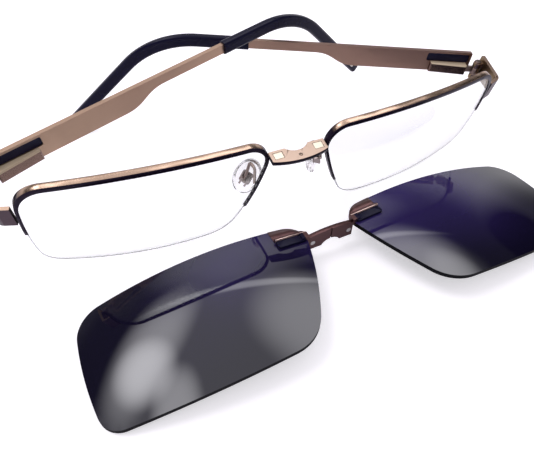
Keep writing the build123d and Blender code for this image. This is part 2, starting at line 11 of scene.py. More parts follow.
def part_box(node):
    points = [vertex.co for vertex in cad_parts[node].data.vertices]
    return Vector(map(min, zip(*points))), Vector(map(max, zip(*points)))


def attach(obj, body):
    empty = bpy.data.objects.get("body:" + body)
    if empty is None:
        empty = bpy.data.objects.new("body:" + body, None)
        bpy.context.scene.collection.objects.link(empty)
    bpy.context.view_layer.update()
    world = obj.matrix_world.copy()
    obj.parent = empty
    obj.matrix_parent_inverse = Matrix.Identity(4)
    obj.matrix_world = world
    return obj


bl_info = {
    "name": "Spectacles with a magnetic clip-on",
    "version": (1, 0, 0),
    "blender": (4, 5, 0),
    "location": "View3D > Sidebar > Spectacles",
    "description": "Finishes a semi-rimless spectacle frame and its magnetic sun clip",
    "category": "Object",
}

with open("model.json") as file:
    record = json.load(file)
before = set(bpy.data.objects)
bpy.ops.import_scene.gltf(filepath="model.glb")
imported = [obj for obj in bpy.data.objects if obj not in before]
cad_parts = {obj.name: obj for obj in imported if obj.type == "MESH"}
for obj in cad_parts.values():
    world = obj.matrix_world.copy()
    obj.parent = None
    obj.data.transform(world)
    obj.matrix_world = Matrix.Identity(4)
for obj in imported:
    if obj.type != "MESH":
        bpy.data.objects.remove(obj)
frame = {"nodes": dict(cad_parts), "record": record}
bpy.context.view_layer.update()
NODES = frame["nodes"]
MOUNTS = {mount["name"]: mount for mount in frame["record"]["mounts"]}
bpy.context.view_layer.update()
SIDES = ("left", "right")

# Which way along X each side lies
HAND = {"left": -1, "right": 1}

# Front end of each temple: a point on its top edge, its turn in plan, its climb and the hinge screw's lean
HINGE_TOP = {"left": (-0.066584, 0.001492, 0.02995), "right": (0.066726, 0.001492, 0.02644)}
HINGE_TURN = {"left": radians(17.21), "right": radians(23.73)}
HINGE_CLIMB = {"left": radians(4.4), "right": radians(4.2)}
HINGE_LEAN = {"left": radians(7.0), "right": radians(4.5)}

# Temple blade, measured outwards from its hinge screw, and where the right temple's painted shade fades out
BLADE_MIDDLE = 0.0020
BLADE_INNER = 0.0014
RECESS_FLOOR = 0.0018
RECESS_LIP = 0.00015
PAINTED_SHADE_FADE_START = 0.025
PAINTED_SHADE_FADE_END = 0.095

# Clip bracket, from the face of the clip's magnets up to its rail and to the painted highlight on the
# rail's front edge, and from the clip's middle to its tab's end, with the widths of the steps between colours
RAIL_START = 0.00185
RAIL_BLUR = 0.00005
RAIL_HIGHLIGHT_UP = 0.0001
RAIL_HIGHLIGHT_FROM = 0.00006
RAIL_HIGHLIGHT_TO = 0.00014
TAB_END = 0.0074
TAB_BLUR = 0.0002

# Metal sheath over the corner of each sun lens, measured as the bracket is
CAP_START = 0.0024
CAP_END = 0.0146
CAP_THICK = 0.00012

# Sun lenses: how far from the clip's middle their purple fades
PURPLE_END = 0.030
PURPLE_GONE = 0.062

# Corners closer than SAME_POINT are one, and a corner closer than ON_PLANE to a cut lies on it
SAME_POINT = 0.000001
ON_PLANE = 0.0000001

# Edges sharper than this, in degrees, are rounded, more widely on the frame's bridge and its magnets
SHARP_EDGE = 35
BRIDGE_ROUND = 2.5
MAGNET_ROUND = 1.5

# How squarely faces look along a way: their mask rises from 0 to 1 between these two cosines
TOP_FACE = (0.60, 0.85)
MAGNET_FACE = (0.75, 0.95)
FRONT_FACE = (0.1, 0.4)
OUTER_FACE = (0.3, 0.6)
INNER_FACE = (0.5, 0.8)
BOX_FACE = (0.5, 0.8)
LENS_FACE = (0.5, 0.8)
SUN_LENS_FACE = (0.4, 0.7)

# How metallic a finish is: bare metal, the rims' lacquer, the spring boxes' painted top highlight, the
# recesses, and plain lacquer or plastic
METAL = 1.0
RIM_LACQUER = 0.6
BOX_HIGHLIGHT = 0.25
RECESS = 0.2
NO_METAL = 0.0

# Grain of a surface: how fine it is and how high in metres
METAL_GRAIN = (4000.0, 0.000004)
TIP_GRAIN = (900.0, 0.000002)

# How much rougher the duller patches of the plating are
DULL_PATCHES = 0.12

# Width of the photograph in pixels and of the camera's sensor in millimetres
IMAGE_WIDTH = 534
SENSOR_WIDTH = 36.0


def both(*kinds):
    """Names of the nodes of these kinds on the left and on the right."""
    return [f"{side}_{kind}" for kind in kinds for side in SIDES]


class FinishSettings(PropertyGroup):
    """Colours of the finishes, with painted shade and painted highlights among them, and how soft the edges
    are.
    """

    bronze: FloatVectorProperty(
        name="Bronze",
        description="Plating on the tops of the rims and of the endpieces",
        subtype="COLOR",
        default=(0.50, 0.35, 0.26),
        min=0.0,
        max=1.0,
    )
    bridge_top: FloatVectorProperty(
        name="Bridge",
        description="Plating on the top of the frame's bridge",
        subtype="COLOR",
        default=(0.42, 0.31, 0.245),
        min=0.0,
        max=1.0,
    )
    temple: FloatVectorProperty(
        name="Temple",
        description="Satin plating of the temples",
        subtype="COLOR",
        default=(0.50, 0.335, 0.245),
        min=0.0,
        max=1.0,
    )
    # Painted shade: darker colour at the right temple's wide end, for the dark things it mirrors there
    temple_painted_shade: FloatVectorProperty(
        name="Temple, wide end",
        description="Deeper plating at the right temple's wide end",
        subtype="COLOR",
        default=(0.35, 0.215, 0.175),
        min=0.0,
        max=1.0,
    )
    # Painted shade: the spring boxes' sides are darker than their plating, for the dark things they mirror
    box_plating_painted_shade: FloatVectorProperty(
        name="Spring box",
        description="Polished plating of the spring boxes",
        subtype="COLOR",
        default=(0.20, 0.13, 0.11),
        min=0.0,
        max=1.0,
    )
    # Painted highlight: paler colour on the spring boxes' top faces, for the bright ceiling they mirror
    box_painted_highlight: FloatVectorProperty(
        name="Spring box, top",
        description="Paler polished top faces of the spring boxes",
        subtype="COLOR",
        default=(0.80, 0.64, 0.46),
        min=0.0,
        max=1.0,
    )
    # Near-black colour laid on the floors of the temples' long recesses
    recess: FloatVectorProperty(
        name="Recess",
        description="Lacquer in the temples' long recesses",
        subtype="COLOR",
        default=(0.010, 0.009, 0.030),
        min=0.0,
        max=1.0,
    )
    lacquer: FloatVectorProperty(
        name="Lacquer",
        description="Dark lacquer on the sides of the rims and of the bridge",
        subtype="COLOR",
        default=(0.012, 0.006, 0.020),
        min=0.0,
        max=1.0,
    )
    endpiece_dark: FloatVectorProperty(
        name="Endpiece",
        description="Dark plating on the outer faces of the endpieces",
        subtype="COLOR",
        default=(0.085, 0.058, 0.070),
        min=0.0,
        max=1.0,
    )
    tip: FloatVectorProperty(
        name="Tips",
        description="Moulded sleeves at the ends of the temples",
        subtype="COLOR",
        default=(0.005, 0.004, 0.024),
        min=0.0,
        max=1.0,
    )
    sun_tint: FloatVectorProperty(
        name="Sun lens, top",
        description="Body colour of the sun lenses towards their upper edge",
        subtype="COLOR",
        default=(0.033, 0.020, 0.120),
        min=0.0,
        max=1.0,
    )
    sun_low_tint: FloatVectorProperty(
        name="Sun lens, bottom",
        description="Body colour of the sun lenses towards their lower edge",
        subtype="COLOR",
        default=(0.005, 0.004, 0.014),
        min=0.0,
        max=1.0,
    )
    clip_bronze: FloatVectorProperty(
        name="Clip bronze",
        description="Plating of the clip's bridge and rails",
        subtype="COLOR",
        default=(0.13, 0.068, 0.068),
        min=0.0,
        max=1.0,
    )
    bracket_black: FloatVectorProperty(
        name="Bracket black",
        description="Lacquer on the plates that hold the sun lenses",
        subtype="COLOR",
        default=(0.004, 0.003, 0.020),
        min=0.0,
        max=1.0,
    )
    endpiece_inside: FloatVectorProperty(
        name="Endpiece, inside",
        description="Plating on the inner faces of the endpieces",
        subtype="COLOR",
        default=(0.32, 0.23, 0.13),
        min=0.0,
        max=1.0,
    )
    magnet_face: FloatVectorProperty(
        name="Frame magnets",
        description="Top faces of the magnets in the frame's bridge",
        subtype="COLOR",
        default=(0.66, 0.58, 0.46),
        min=0.0,
        max=1.0,
    )
    # Painted shade: dark sides and rounded edges of the magnets, for the shade in the gap round them
    magnet_painted_shade: FloatVectorProperty(
        name="Frame magnets, edge",
        description="Dark line round the magnets in the frame's bridge",
        subtype="COLOR",
        default=(0.16, 0.09, 0.06),
        min=0.0,
        max=1.0,
    )
    clip_magnet: FloatVectorProperty(
        name="Clip magnets",
        description="Magnets in the clip's bridge",
        subtype="COLOR",
        default=(0.66, 0.64, 0.62),
        min=0.0,
        max=1.0,
    )
    # Painted highlight: a bright line along the front edge of the clip's rails, where light glints
    rail_painted_highlight: FloatVectorProperty(
        name="Rail lip",
        description="Bright line along the front edge of the clip's rails",
        subtype="COLOR",
        default=(0.75, 0.55, 0.50),
        min=0.0,
        max=1.0,
    )
    hinge_steel: FloatVectorProperty(
        name="Hinge steel",
        description="Sliders and screws of the hinges",
        subtype="COLOR",
        default=(0.26, 0.19, 0.17),
        min=0.0,
        max=1.0,
    )
    inlay_steel: FloatVectorProperty(
        name="Inlay steel",
        description="Bars let into the temples' tips",
        subtype="COLOR",
        default=(0.72, 0.68, 0.58),
        min=0.0,
        max=1.0,
    )
    pad_steel: FloatVectorProperty(
        name="Pad fixings",
        description="Metal forks in the nose pads",
        subtype="COLOR",
        default=(0.40, 0.33, 0.32),
        min=0.0,
        max=1.0,
    )
    pad_bronze: FloatVectorProperty(
        name="Pad arms",
        description="Plating of the nose pads' arms",
        subtype="COLOR",
        default=(0.36, 0.28, 0.25),
        min=0.0,
        max=1.0,
    )
    clear_lens: FloatVectorProperty(
        name="Clear lens",
        description="Tint of the clear lenses",
        subtype="COLOR",
        default=(0.97, 0.98, 0.98),
        min=0.0,
        max=1.0,
    )
    nylon: FloatVectorProperty(
        name="Nylon cord",
        description="Tint of the cords under the clear lenses",
        subtype="COLOR",
        default=(0.55, 0.56, 0.58),
        min=0.0,
        max=1.0,
    )
    silicone: FloatVectorProperty(
        name="Nose pads",
        description="Tint of the nose pads",
        subtype="COLOR",
        default=(0.96, 0.95, 0.96),
        min=0.0,
        max=1.0,
    )
    edge_round: FloatProperty(
        name="Edge rounding",
        description="Width of the soft edge on metal pieces",
        default=0.00012,
        min=0.0,
        max=0.001,
        precision=5,
        unit="LENGTH",
    )


class StageSettings(PropertyGroup):
    """Camera, lamp and the light of the room."""

    camera_place: FloatVectorProperty(
        name="Camera place",
        description="Where the camera stands",
        subtype="XYZ",
        unit="LENGTH",
        default=(-0.043834, -0.098412, 0.09351),
    )
    camera_turn: FloatVectorProperty(
        name="Camera turn",
        description="Azimuth, downward tilt and roll of the camera",
        subtype="EULER",
        unit="ROTATION",
        default=(radians(23.64), radians(46.17), radians(-0.73)),
    )
    focal_pixels: FloatProperty(
        name="Focal length",
        description="Focal length in pixels of the photograph's frame",
        default=485.9,
        min=1.0,
    )
    key_place: FloatVectorProperty(
        name="Key lamp's place",
        description="Where the soft lamp hangs",
        subtype="XYZ",
        unit="LENGTH",
        default=(-0.35, 0.30, 0.85),
    )
    key_size: FloatProperty(
        name="Key lamp's size",
        description="Width of the soft lamp's round face",
        default=0.5,
        min=0.01,
        unit="LENGTH",
    )
    key_power: FloatProperty(
        name="Key lamp's power",
        description="Power of the soft lamp behind and above the spectacles",
        default=2.8,
        min=0.0,
        unit="POWER",
    )
    room_light: FloatProperty(
        name="Room light",
        description="Strength of the even light from all round",
        default=0.70,
        min=0.0,
    )
    window_light: FloatProperty(
        name="Windows",
        description="Brightness of the soft windows that glossy pieces mirror",
        default=6.5,
        min=0.0,
    )


def material_tree(name):
    """A new material with its Principled shader: returns the material, its tree and the shader."""
    made = bpy.data.materials.new(name)
    made.use_nodes = True
    tree = made.node_tree
    return made, tree, tree.nodes["Principled BSDF"]


def feed(tree, socket, value):
    """Links an output to a socket, or sets the socket to a plain value."""
    if isinstance(value, bpy.types.NodeSocket):
        tree.links.new(value, socket)
    else:
        socket.default_value = value


def set_inputs(tree, node, **values):
    """Feeds a node's sockets by name, with underscores for spaces."""
    for name, value in values.items():
        feed(tree, node.inputs[name.replace("_", " ")], value)
    return node


def maths(tree, operation, *values):
    """A Math node with numbers or sockets as its inputs: returns its output."""
    node = tree.nodes.new("ShaderNodeMath")
    node.operation = operation
    for socket, value in zip(node.inputs, values):
        feed(tree, socket, value)
    return node.outputs["Value"]


def opposite(tree, mask):
    """Mask of what a mask leaves out."""
    return maths(tree, "SUBTRACT", 1.0, mask)


def dot_product(tree, one, other):
    """How far one vector reaches along another, each a socket or plain."""
    node = tree.nodes.new("ShaderNodeVectorMath")
    node.operation = "DOT_PRODUCT"
    feed(tree, node.inputs[0], one)
    feed(tree, node.inputs[1], other)
    return node.outputs["Value"]


def ramp_between(tree, value, low, high):
    """A soft step that rises from 0 to 1 while the value goes from low to high."""
    ramp = tree.nodes.new("ShaderNodeMapRange")
    ramp.interpolation_type = "SMOOTHSTEP"
    set_inputs(tree, ramp, Value=value, From_Min=low, From_Max=high)
    return ramp.outputs["Result"]


def lay_over(tree, mask, under, over, kind="RGBA"):
    """One colour where a mask is 0 and the other where it is 1, each a socket or plain.

    With the kind FLOAT it does the same for two numbers.
    """
    mix = tree.nodes.new("ShaderNodeMix")
    mix.data_type = kind
    set_inputs(tree, mix, Factor=mask, A=under, B=over)
    return mix.outputs["Result"]


def cloudy(tree, **values):
    """Noise that is fixed to the object, with its sockets set by name: returns its output."""
    place = tree.nodes.new("ShaderNodeTexCoord").outputs["Object"]
    noise = tree.nodes.new("ShaderNodeTexNoise")
    set_inputs(tree, noise, Vector=place, **values)
    return noise.outputs["Fac"]


def new_group(name, inputs, outputs):
    """An empty shader group with float, colour or vector sockets: returns it, its input and its output."""
    group = bpy.data.node_groups.new(name, "ShaderNodeTree")
    for label, kind, value in inputs:
        socket = group.interface.new_socket(name=label, in_out="INPUT", socket_type=kind)
        socket.default_value = value
    for label, kind in outputs:
        group.interface.new_socket(name=label, in_out="OUTPUT", socket_type=kind)
    return group, group.nodes.new("NodeGroupInput"), group.nodes.new("NodeGroupOutput")


def place_group(tree, group, **values):
    """A node that uses a shader group, with its sockets set."""
    node = tree.nodes.new("ShaderNodeGroup")
    node.node_tree = group
    return set_inputs(tree, node, **values)


def satin_group():
    """Plated metal: fine grain in its surface and slow changes in its colour and roughness."""
    group, start, end = new_group(
        "satin plating",
        [
            ("Color", "NodeSocketColor", (0.5, 0.5, 0.5, 1)),
            ("Shade Color", "NodeSocketColor", (0.3, 0.3, 0.3, 1)),
            ("Roughness", "NodeSocketFloat", 0.3),
            ("Grain Scale", "NodeSocketFloat", 4000.0),
            ("Grain Height", "NodeSocketFloat", 0.000004),
        ],
        [("Color", "NodeSocketColor"), ("Roughness", "NodeSocketFloat"), ("Normal", "NodeSocketVector")],
    )
    patches = cloudy(group, Scale=90.0, Detail=3.0, Roughness=0.55)
    tone = lay_over(group, patches, start.outputs["Color"], start.outputs["Shade Color"])
    rough = maths(group, "MULTIPLY_ADD", patches, DULL_PATCHES, start.outputs["Roughness"])
    grain = cloudy(group, Scale=start.outputs["Grain Scale"], Detail=2.0)
    bump = group.nodes.new("ShaderNodeBump")
    set_inputs(group, bump, Strength=1.0, Height=grain, Distance=start.outputs["Grain Height"])
    set_inputs(group, end, Color=tone, Roughness=rough, Normal=bump.outputs["Normal"])
    return group


def facing_group():
    """A mask that is 1 where the surface faces a given way in the object's own frame."""
    group, start, end = new_group(
        "facing",
        [
            ("Way", "NodeSocketVector", (0, 0, 1)),
            ("From", "NodeSocketFloat", 0.5),
            ("To", "NodeSocketFloat", 0.7),
        ],
        [("Mask", "NodeSocketFloat")],
    )
    normal = group.nodes.new("ShaderNodeTexCoord").outputs["Normal"]
    cosine = dot_product(group, normal, start.outputs["Way"])
    mask = ramp_between(group, cosine, start.outputs["From"], start.outputs["To"])
    set_inputs(group, end, Mask=mask)
    return group


def beyond_group():
    """A mask that is 1 past a plane, and one that is 1 far from it on either side.

    The plane is given by a point on it and the way that it faces.
    """
    group, start, end = new_group(
        "beyond",
        [
            ("Point", "NodeSocketVector", (0, 0, 0)),
            ("Way", "NodeSocketVector", (0, 0, 1)),
            ("From", "NodeSocketFloat", -0.0001),
            ("To", "NodeSocketFloat", 0.0001),
        ],
        [("Mask", "NodeSocketFloat"), ("Far Mask", "NodeSocketFloat")],
    )
    place = group.nodes.new("ShaderNodeTexCoord").outputs["Object"]
    apart = group.nodes.new("ShaderNodeVectorMath")
    apart.operation = "SUBTRACT"
    feed(group, apart.inputs[0], place)
    feed(group, apart.inputs[1], start.outputs["Point"])
    past = dot_product(group, apart.outputs["Vector"], start.outputs["Way"])
    for distance, label in ((past, "Mask"), (maths(group, "ABSOLUTE", past), "Far Mask")):
        mask = ramp_between(group, distance, start.outputs["From"], start.outputs["To"])
        feed(group, end.inputs[label], mask)
    return group


GROUPS = {}


def shared(name, maker):
    """The shader group of this name, made when it is first asked for."""
    if name not in GROUPS:
        GROUPS[name] = maker()
    return GROUPS[name]


def colour(values, strength=1.0):
    """Colour with full opacity, brighter or darker by its strength."""
    return (*[value * strength for value in values], 1.0)


def facing(tree, way, cosines):
    """Mask of the faces that look a given way, as squarely as the two cosines say."""
    low, high = cosines
    node = place_group(tree, shared("facing", facing_group), Way=way, From=low, To=high)
    return node.outputs["Mask"]


def edge_of(tree, way, cosines):
    """Mask of a lens's edge: every face that looks neither along a way nor against it."""
    return opposite(tree, maths(tree, "ADD", facing(tree, way, cosines), facing(tree, -way, cosines)))


def beyond(tree, point, way, low, high, label="Mask"):
    """Mask of what lies past a plane, or with Far Mask past it on either side."""
    node = place_group(tree, shared("beyond", beyond_group), Point=point, Way=way, From=low, To=high)
    return node.outputs[label]


def finish_of(name, base, layers=(), roughness=0.3, shade=0.8, metallic=METAL, grain=METAL_GRAIN, **plain):
    """Grained finish in one colour with other colours laid over it where their masks are 1.

    Each layer gives a function that makes its mask in the material's tree, its colour and how metallic it is.
    The shade is how dark the base colour's darker patches are, and the rest goes to the shader's own sockets.
    """
    made, tree, shader = material_tree(name)
    satin = place_group(
        tree,
        shared("satin", satin_group),
        Color=colour(base),
        Shade_Color=colour(base, shade),
        Roughness=roughness,
        Grain_Scale=grain[0],
        Grain_Height=grain[1],
    )
    tone = satin.outputs["Color"]
    metal = metallic
    for mask_of, layer, layer_metallic in layers:
        mask = mask_of(tree)
        tone = lay_over(tree, mask, tone, colour(layer))
        if layer_metallic != metallic:
            metal = maths(tree, "MULTIPLY_ADD", mask, layer_metallic - metallic, metal)
    set_inputs(tree, shader, Base_Color=tone, Metallic=metal, **plain)
    set_inputs(tree, shader, Roughness=satin.outputs["Roughness"], Normal=satin.outputs["Normal"])
    return made


# Clear pieces: how dark their shadow is, how much rougher smears make them, and the finish of a ground edge
FAINT_SHADOW = 0.06
SMEAR = 0.02
FROST_ROUGHNESS = 0.45
FROST_TINT = (0.62, 0.63, 0.66, 1.0)


def clear(name, tint, roughness=0.0, ior=1.5, frosted=None):
    """Clear plastic, which casts only a faint shadow, frosted on its edge where that is given.

    A frosted edge is every face that doesn't look along the way that is given.
    """
    made, tree, shader = material_tree(name)
    tone = colour(tint)
    gloss = smudges(tree, roughness, roughness + SMEAR)
    if frosted is not None:
        edge = edge_of(tree, frosted, LENS_FACE)
        gloss = maths(tree, "MULTIPLY_ADD", edge, FROST_ROUGHNESS, gloss)
        tone = lay_over(tree, edge, tone, FROST_TINT)
    set_inputs(tree, shader, Base_Color=tone, Roughness=gloss, IOR=ior, Transmission_Weight=1.0)
    in_shadow = tree.nodes.new("ShaderNodeLightPath").outputs["Is Shadow Ray"]
    through = tree.nodes.new("ShaderNodeBsdfTransparent")
    set_inputs(tree, through, Color=colour((1 - FAINT_SHADOW,) * 3))
    mix = tree.nodes.new("ShaderNodeMixShader")
    for socket, value in zip(mix.inputs, (in_shadow, shader.outputs["BSDF"], through.outputs["BSDF"])):
        feed(tree, socket, value)
    set_inputs(tree, tree.nodes["Material Output"], Surface=mix.outputs["Shader"])
    return made


def smudges(tree, clean, smeared):
    """Roughness with the faint uneven gloss of a wiped lens."""
    cloud = cloudy(tree, Scale=120.0, Detail=4.0, Roughness=0.6)
    return maths(tree, "MULTIPLY_ADD", cloud, smeared - clean, clean)


# Sun lenses: limits of the noise that makes the purple patchy, roughness where clean and where smeared,
# the dark edge's finish, and both specular levels
PATCHES = (0.25, 0.70)
SUN_GLOSS = (0.015, 0.05)
SUN_EDGE_TINT = (0.002, 0.002, 0.004, 1.0)
SUN_EDGE_ROUGHNESS = 0.5
SUN_EDGE_SHINE = 0.05
FACE_SHINE = 0.5


def sun_glass(name, tint, low_tint, middle, across, ahead):
    """Dark glossy lens with faint smudges and a dull edge, purple above and towards the clip's middle.

    It is given the clip's middle, the way across the clip and the way that its lenses face.
    """
    made, tree, shader = material_tree(name)
    low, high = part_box("left_sun_lens")
    raised = beyond(tree, (0, low.y, 0), (0, 1, 0), 0.0, high.y - low.y)
    patchy = ramp_between(tree, cloudy(tree, Scale=28.0, Detail=1.0), *PATCHES)
    inner = opposite(tree, beyond(tree, middle, across, PURPLE_END, PURPLE_GONE, "Far Mask"))
    purple = maths(tree, "MULTIPLY", maths(tree, "MULTIPLY", raised, patchy), inner)
    face = lay_over(tree, purple, colour(low_tint), colour(tint))
    edge = edge_of(tree, ahead, SUN_LENS_FACE)
    tone = lay_over(tree, edge, face, SUN_EDGE_TINT)
    gloss = maths(tree, "MULTIPLY_ADD", edge, SUN_EDGE_ROUGHNESS, smudges(tree, *SUN_GLOSS))
    shine = maths(tree, "MULTIPLY_ADD", edge, SUN_EDGE_SHINE - FACE_SHINE, FACE_SHINE)
    set_inputs(tree, shader, Base_Color=tone, Roughness=gloss, Specular_IOR_Level=shine, IOR=1.65)
    return made


def soften(node, width):
    """Merges a node's facets and rounds its edges slightly, leaving its own mesh as it is."""
    piece = NODES[node]
    weld = piece.modifiers.new("merged facets", "WELD")
    weld.merge_threshold = SAME_POINT
    bevel = piece.modifiers.new("soft edges", "BEVEL")
    bevel.width = width
    bevel.segments = 2
    bevel.limit_method = "ANGLE"
    bevel.angle_limit = radians(SHARP_EDGE)
    bevel.harden_normals = True


def dress(names, material, width=0.0):
    """Gives nodes a material and, with a width, softly rounded edges."""
    for name in names:
        for slot in NODES[name].material_slots:
            slot.material = material
        if width:
            soften(name, width)


def finishes():
    """The colours and sizes that the user has chosen."""
    return bpy.context.scene.finish_settings


def temple_axes(side):
    """Way along a temple, way outwards from its outer face and way up its hinge screw."""
    hand = HAND[side]
    turn, climb, lean = HINGE_TURN[side], HINGE_CLIMB[side], HINGE_LEAN[side]
    along = Vector((-hand * cos(turn) * cos(climb), sin(turn) * cos(climb), sin(climb)))
    across = -(along.y * -sin(lean) + along.z * cos(lean)) / along.x
    screw = Vector((across, -sin(lean), cos(lean))).normalized()
    return along, screw.cross(along) * -hand, screw


def front_axes():
    """Ways that the front's face and its top look, from the top faces of its magnets."""
    up = Vector(MOUNTS["left_frame_magnet_face"]["axis"])
    return Vector((1, 0, 0)).cross(up), up


class GLASSES_OT_front(Operator):
    """Finishes the rims, the endpieces, the bridge and its magnets"""

    bl_idname = "glasses.front"
    bl_label = "Front"

    def execute(self, context):
        look = finishes()
        ahead, up = front_axes()

        def top(tree):
            return facing(tree, up, TOP_FACE)

        lacquered = {"metallic": RIM_LACQUER, "Specular_IOR_Level": 0.2}
        bronze_top = [(top, look.bronze, METAL)]
        rim = finish_of("rim lacquer and bronze", look.lacquer, bronze_top, roughness=0.2, **lacquered)
        dress(both("rim"), rim, look.edge_round)
        for side in SIDES:
            out = Vector((HAND[side], 0, 0))
            layers = [
                (lambda tree: facing(tree, ahead, FRONT_FACE), look.endpiece_dark, METAL),
                (lambda tree: facing(tree, out, OUTER_FACE), look.endpiece_dark, METAL),
                (top, look.bronze, METAL),
            ]
            plating = finish_of(f"{side} endpiece plating", look.endpiece_inside, layers, roughness=0.24)
            dress([f"{side}_endpiece"], plating, look.edge_round)
        copper_top = [(top, look.bridge_top, METAL)]
        bridge = finish_of("bridge lacquer and copper", look.lacquer, copper_top, roughness=0.3, **lacquered)
        dress(["frame_bridge"], bridge, look.edge_round * BRIDGE_ROUND)
        # Magnets: nickel on the top faces, with painted shade on their sides and rounded edges
        face = [(lambda tree: facing(tree, up, MAGNET_FACE), look.magnet_face, METAL)]
        magnet = finish_of("frame magnet nickel", look.magnet_painted_shade, face, roughness=0.3)
        dress(both("frame_magnet"), magnet, look.edge_round * MAGNET_ROUND)
        return {"FINISHED"}


class GLASSES_OT_lenses(Operator):
    """Finishes the clear lenses and their cords"""

    bl_idname = "glasses.lenses"
    bl_label = "Clear lenses"

    def execute(self, context):
        look = finishes()
        ahead = front_axes()[0]
        dress(both("lens"), clear("clear lens", look.clear_lens, frosted=ahead))
        dress(both("lens_cord"), clear("nylon cord", look.nylon, roughness=0.2))
        return {"FINISHED"}


class GLASSES_OT_pads(Operator):
    """Finishes the nose pads, their fixings and their arms"""

    bl_idname = "glasses.pads"
    bl_label = "Nose pads"

    def execute(self, context):
        look = finishes()
        dress(both("nose_pad"), clear("pad silicone", look.silicone, roughness=0.10, ior=1.41))
        fixing = finish_of("pad fixing steel", look.pad_steel, roughness=0.3)
        dress(both("pad_fixing"), fixing, look.edge_round)
        arm = finish_of("pad arm bronze", look.pad_bronze, roughness=0.28)
        dress(both("pad_arm"), arm, look.edge_round)
        return {"FINISHED"}


class GLASSES_OT_temples(Operator):
    """Finishes the temples, their spring hinges and their tips"""

    bl_idname = "glasses.temples"
    bl_label = "Temples"

    def execute(self, context):
        look = finishes()
        for side in SIDES:
            along, out, up = temple_axes(side)
            top = HINGE_TOP[side]

            # Mask of the floor of the blade's long recess, which is given a near-black colour
            def recess(tree):
                lip = BLADE_INNER - BLADE_MIDDLE + RECESS_LIP
                floor = beyond(tree, top, out, lip, RECESS_FLOOR - BLADE_MIDDLE)
                return maths(tree, "MULTIPLY", floor, facing(tree, -out, INNER_FACE))

            # Mask of the blade past its painted shade, where it takes the plain plating
            def past_painted_shade(tree):
                return beyond(tree, top, along, PAINTED_SHADE_FADE_START, PAINTED_SHADE_FADE_END)

            # The right temple starts from its painted shade near the hinge, the left from its plain plating
            bronze = look.temple if side == "left" else look.temple_painted_shade
            layers = [(past_painted_shade, look.temple, METAL), (recess, look.recess, RECESS)]
            satin = {"roughness": 0.26, "Specular_IOR_Level": 0.2}
            blade = finish_of(f"{side} temple satin bronze", bronze, layers, **satin)
            dress([f"{side}_temple_blade"], blade, look.edge_round)
            # Spring box: plating darkened as painted shade, with a painted highlight on its top faces
            lid = [(lambda tree: facing(tree, up, BOX_FACE), look.box_painted_highlight, BOX_HIGHLIGHT)]
            box = finish_of(f"{side} spring box bronze", look.box_plating_painted_shade, lid, roughness=0.12)
            dress([f"{side}_spring_box"], box, look.edge_round)
        steel = finish_of("hinge steel", look.hinge_steel, roughness=0.25)
        dress(both("hinge_slider", "hinge_screw"), steel, look.edge_round)
        moulded = {"roughness": 0.2, "shade": 0.7, "grain": TIP_GRAIN, "Specular_IOR_Level": 0.14}
        dress(both("tip_sleeve"), finish_of("tip plastic", look.tip, metallic=NO_METAL, **moulded))
        inlay = finish_of("inlay steel", look.inlay_steel, roughness=0.2)
        dress(both("tip_inlay"), inlay, look.edge_round)
        return {"FINISHED"}


def lens_cap(side, middle, outward, up):
    """Thin metal sheath over the top inner corner of a sun lens, from the rail to the lens's edge."""
    shape = bmesh.new()
    shape.from_mesh(NODES[f"{side}_sun_lens"].data)
    bmesh.ops.remove_doubles(shape, verts=shape.verts, dist=SAME_POINT)
    cuts = ((middle + up * CAP_START, -up), (middle + outward * CAP_END, outward))
    for point, away in cuts:
        bmesh.ops.bisect_plane(
            shape,
            geom=shape.verts[:] + shape.edges[:] + shape.faces[:],
            dist=ON_PLANE,
            plane_co=point,
            plane_no=away,
            clear_outer=True,
        )
    mesh = bpy.data.meshes.new(f"{side}_lens_cap")
    shape.to_mesh(mesh)
    shape.free()
    cap = bpy.data.objects.new(f"{side}_lens_cap", mesh)
    bpy.context.scene.collection.objects.link(cap)
    wall = cap.modifiers.new("sheet", "SOLIDIFY")
    wall.thickness = CAP_THICK
    wall.offset = 1.0
    return cap


